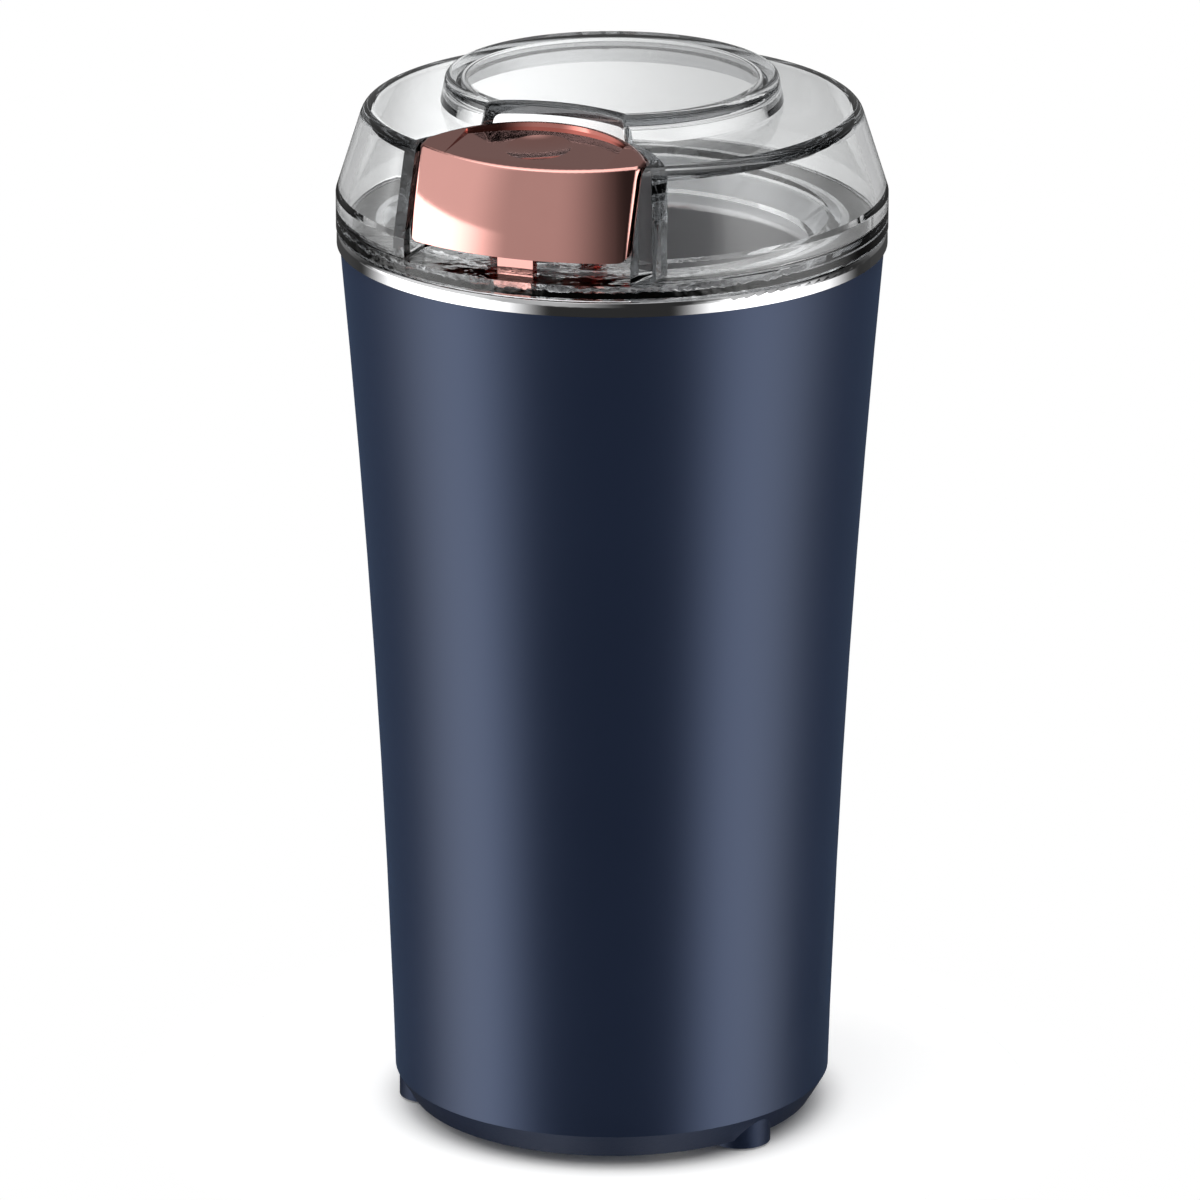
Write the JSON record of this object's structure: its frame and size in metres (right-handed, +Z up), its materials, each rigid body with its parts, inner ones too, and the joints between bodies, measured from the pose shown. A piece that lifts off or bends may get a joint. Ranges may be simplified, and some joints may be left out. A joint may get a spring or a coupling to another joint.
{
  "type": "electric coffee grinder",
  "caption": "Upright electric blade coffee grinder: tapered housing, steel bowl with spinning blade, clear lift-off lid, and a sprung push button that works a lever switch.",
  "frame": {"origin": "on the floor at the middle of the round body, between the feet", "axes": "+Z up along the motor shaft, the push button faces -Y, the cord inlet faces +Y"},
  "size_m": [0.092, 0.092, 0.181],
  "materials": {
    "navy_housing": "satin navy lacquer on a moulded shell",
    "base_plastic": "fine-grained navy moulding",
    "foot_rubber": "matt",
    "inlet_rubber": "matt",
    "bowl_steel": "polished drawn steel",
    "soft_rubber": "matt",
    "screw_steel": "zinc plated",
    "frame_plastic": "grained moulding",
    "bracket_metal": "die cast",
    "bearing_bronze": "sintered",
    "core_steel": "stacked sheets",
    "copper_wire": "lacquered",
    "shaft_steel": "ground",
    "brass_sheet": "drawn",
    "carbon": "pressed carbon",
    "blade_steel": "brushed",
    "clear_plastic": "clear, polished",
    "rose_gold": "metallised rose gold",
    "spring_steel": "drawn",
    "rod_plastic": "natural",
    "switch_plastic": "moulded",
    "plunger_plastic": "moulded",
    "lead_jacket": "insulated wire"
  },
  "bodies": {
    "body": {"housing": "navy_housing", "base_cover": "base_plastic", "foot_pads": "foot_rubber", "base_screws": "screw_steel", "cord_bush": "inlet_rubber", "grinding_bowl": "bowl_steel", "bowl_gasket": "soft_rubber", "bowl_nuts": "screw_steel", "inner_frame": "frame_plastic", "motor_dampers": "soft_rubber", "motor_screws": "screw_steel", "upper_bracket": "bracket_metal", "upper_bearing": "bearing_bronze", "lower_bracket": "bracket_metal", "lower_bearing": "bearing_bronze", "motor_bolts": "screw_steel", "stator_core": "core_steel", "field_coils": "copper_wire", "brush_holders": "brass_sheet", "carbon_brushes": "carbon", "brush_springs": "spring_steel", "shaft_seal": "soft_rubber", "switch_body": "switch_plastic", "switch_screws": "screw_steel", "switch_tabs": "brass_sheet", "motor_leads": "lead_jacket"},
    "lid": {"lid_shell": "clear_plastic", "button_spring": "spring_steel"},
    "button": {"push_button": "rose_gold"},
    "rod": {"switch_rod": "rod_plastic"},
    "lever": {"switch_lever": "spring_steel"},
    "plunger": {"switch_plunger": "plunger_plastic"},
    "rotor": {"motor_shaft": "shaft_steel", "armature_core": "core_steel", "armature_winding": "copper_wire", "commutator": "brass_sheet", "blade_hub": "shaft_steel", "blade": "blade_steel", "blade_nut": "bowl_steel"}
  },
  "joints": [
    {"name": "lid_lift", "type": "slide", "parent": "body", "child": "lid", "axis": [0, 0, 1], "range_m": [0, 0.08]},
    {"name": "button_press", "type": "slide", "parent": "lid", "child": "button", "axis": [0, 0, -1], "range_m": [0, 0.0032], "stiffness_N_per_m": 800, "springref_m": -0.002, "deforming": ["button_spring"]},
    {"name": "rod_slide", "type": "slide", "parent": "body", "child": "rod", "axis": [0, 0, -1], "range_m": [0, 0.0032]},
    {"name": "lever_swing", "type": "hinge", "parent": "body", "child": "lever", "pos_m": [-0.0085, -0.03312, 0.09113], "axis": [0, 1, 0], "range_deg": [0, 12.64]},
    {"name": "plunger_slide", "type": "slide", "parent": "body", "child": "plunger", "axis": [0, 0, -1], "range_m": [0, 0.0011]},
    {"name": "rotor_spin", "type": "hinge", "parent": "body", "child": "rotor", "pos_m": [0, 0, 0.1], "axis": [0, 0, 1], "continuous": true}
  ],
  "couplings": [
    {"joint": "rod_slide", "follows": "button_press", "ratio": 1},
    {"joint": "lever_swing", "follows": "button_press", "rad_per_m": 68.966},
    {"joint": "plunger_slide", "follows": "button_press", "ratio": 0.34483}
  ]
}
